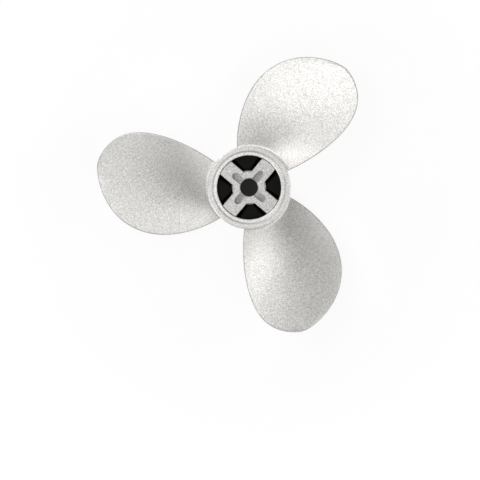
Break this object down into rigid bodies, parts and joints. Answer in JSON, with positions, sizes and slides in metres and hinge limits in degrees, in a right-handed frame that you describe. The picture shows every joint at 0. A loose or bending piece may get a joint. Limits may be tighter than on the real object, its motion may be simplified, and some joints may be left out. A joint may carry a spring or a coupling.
{
  "type": "boat propeller",
  "caption": "Outboard boat propeller with broad skewed blades, a rubber-cushioned drive hub and slots for a drive pin.",
  "frame": {"origin": "centre of the shaft bore at the hub's forward end face", "axes": "+Z along the shaft toward the slotted aft end, and +X and +Y across it; blade 1 points about 65 degrees from +X toward +Y"},
  "size_m": [0.1562, 0.165, 0.05],
  "materials": {
    "coated_casting": "satin silver flake coat on cast aluminium",
    "sleeve_metal": "satin silver coat",
    "spider_metal": "satin silver coat with machined slots",
    "damper_rubber": "moulded matte black",
    "bush_polymer": "matte black"
  },
  "bodies": {
    "drive_hub": {"drive_spider": "spider_metal", "shaft_bush": "bush_polymer"},
    "propeller": {"hub_barrel": "coated_casting", "blade_1": "coated_casting", "blade_2": "coated_casting", "blade_3": "coated_casting", "damper_sleeve": "sleeve_metal", "shear_ring": "damper_rubber", "stop_pad_1": "damper_rubber", "stop_pad_2": "damper_rubber", "stop_pad_3": "damper_rubber", "stop_pad_4": "damper_rubber"}
  },
  "joints": [
    {"name": "cushion_twist", "type": "hinge", "parent": "drive_hub", "child": "propeller", "pos_m": [0, 0, 0], "axis": [0, 0, 1], "range_deg": [-6, 6], "stiffness_Nm_per_rad": 60}
  ]
}
